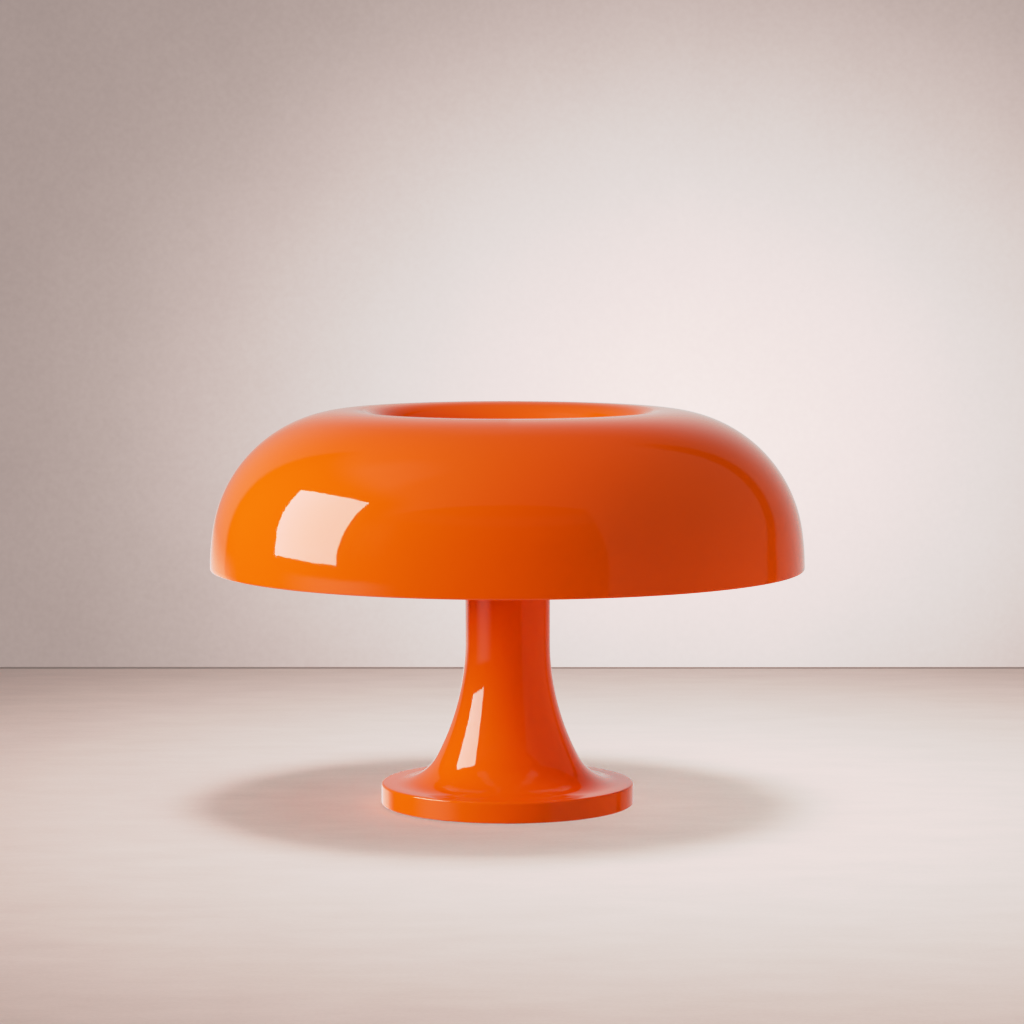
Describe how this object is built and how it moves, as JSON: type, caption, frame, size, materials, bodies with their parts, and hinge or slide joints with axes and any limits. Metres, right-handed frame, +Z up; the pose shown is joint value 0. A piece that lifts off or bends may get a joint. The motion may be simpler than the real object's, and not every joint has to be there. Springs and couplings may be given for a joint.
{
  "type": "mushroom table lamp",
  "caption": "Mushroom table lamp: a glossy domed shade with a funnel top, lifted off a trumpet-shaped stand by undoing a knob, over opal bulbs.",
  "frame": {"origin": "centre of the lamp's footprint, on the table under its pads", "axes": "+Z up along the lamp's axis, +Y towards the back, where the cord's inlet is, +X to the right seen from the front"},
  "size_m": [0.32, 0.32, 0.2141],
  "materials": {
    "orange_shell": "gloss",
    "knob_plastic": "gloss",
    "holder_plastic": "satin",
    "terminal_plastic": "satin",
    "opal_glass": "gloss",
    "cap_nickel": "satin",
    "contact_brass": "satin",
    "thread_brass": "machined",
    "pressed_steel": "zinc plated",
    "turned_steel": "turned",
    "screw_steel": "zinc plated",
    "ballast_iron": "as cast",
    "cover_plastic": "satin",
    "pad_rubber": "matt",
    "grommet_rubber": "matt",
    "lead_cable": "matt"
  },
  "bodies": {
    "stand": {"stand_shell": "orange_shell", "ballast": "ballast_iron", "bottom_cover": "cover_plastic", "cover_screws": "screw_steel", "feet": "pad_rubber", "cord_grommet": "grommet_rubber", "tie_tube": "turned_steel", "lower_nut": "turned_steel", "lower_washer": "pressed_steel", "upper_nut": "turned_steel", "upper_washer": "pressed_steel", "shade_seat": "turned_steel", "lampholder_spider": "pressed_steel", "terminal_ring": "terminal_plastic", "terminal_screws": "contact_brass", "ring_screws": "screw_steel", "holder_screws": "screw_steel", "holder_1": "holder_plastic", "holder_shell_1": "contact_brass", "holder_contact_1": "contact_brass", "holder_lead_1": "lead_cable", "holder_2": "holder_plastic", "holder_shell_2": "contact_brass", "holder_contact_2": "contact_brass", "holder_lead_2": "lead_cable", "holder_3": "holder_plastic", "holder_shell_3": "contact_brass", "holder_contact_3": "contact_brass", "holder_lead_3": "lead_cable", "holder_4": "holder_plastic", "holder_shell_4": "contact_brass", "holder_contact_4": "contact_brass", "holder_lead_4": "lead_cable"},
    "shade": {"shade_shell": "orange_shell"},
    "washer": {"knob_washer": "turned_steel"},
    "knob": {"top_knob": "knob_plastic", "knob_insert": "thread_brass"},
    "bulb_1": {"bulb_glass_1": "opal_glass", "bulb_cap_1": "cap_nickel", "bulb_tip_1": "contact_brass"},
    "bulb_2": {"bulb_glass_2": "opal_glass", "bulb_cap_2": "cap_nickel", "bulb_tip_2": "contact_brass"},
    "bulb_3": {"bulb_glass_3": "opal_glass", "bulb_cap_3": "cap_nickel", "bulb_tip_3": "contact_brass"},
    "bulb_4": {"bulb_glass_4": "opal_glass", "bulb_cap_4": "cap_nickel", "bulb_tip_4": "contact_brass"}
  },
  "joints": [
    {"name": "shade_lift", "type": "slide", "parent": "stand", "child": "shade", "axis": [0, 0, 1], "range_m": [0, 0.06]},
    {"name": "knob_turn", "type": "hinge", "parent": "shade", "child": "washer", "pos_m": [0, 0, 0.169], "axis": [0, 0, 1], "range_deg": [0, 1440]},
    {"name": "knob_rise", "type": "slide", "parent": "washer", "child": "knob", "axis": [0, 0, 1], "range_m": [0, 0.004]},
    {"name": "bulb_1_unscrew", "type": "slide", "parent": "stand", "child": "bulb_1", "axis": [0.7071, 0.7071, 0], "range_m": [0, 0.012]},
    {"name": "bulb_2_unscrew", "type": "slide", "parent": "stand", "child": "bulb_2", "axis": [-0.7071, 0.7071, 0], "range_m": [0, 0.012]},
    {"name": "bulb_3_unscrew", "type": "slide", "parent": "stand", "child": "bulb_3", "axis": [-0.7071, -0.7071, 0], "range_m": [0, 0.012]},
    {"name": "bulb_4_unscrew", "type": "slide", "parent": "stand", "child": "bulb_4", "axis": [0.7071, -0.7071, 0], "range_m": [0, 0.012]}
  ],
  "couplings": [
    {"joint": "knob_rise", "follows": "knob_turn", "m_per_rad": 0.00015915}
  ]
}
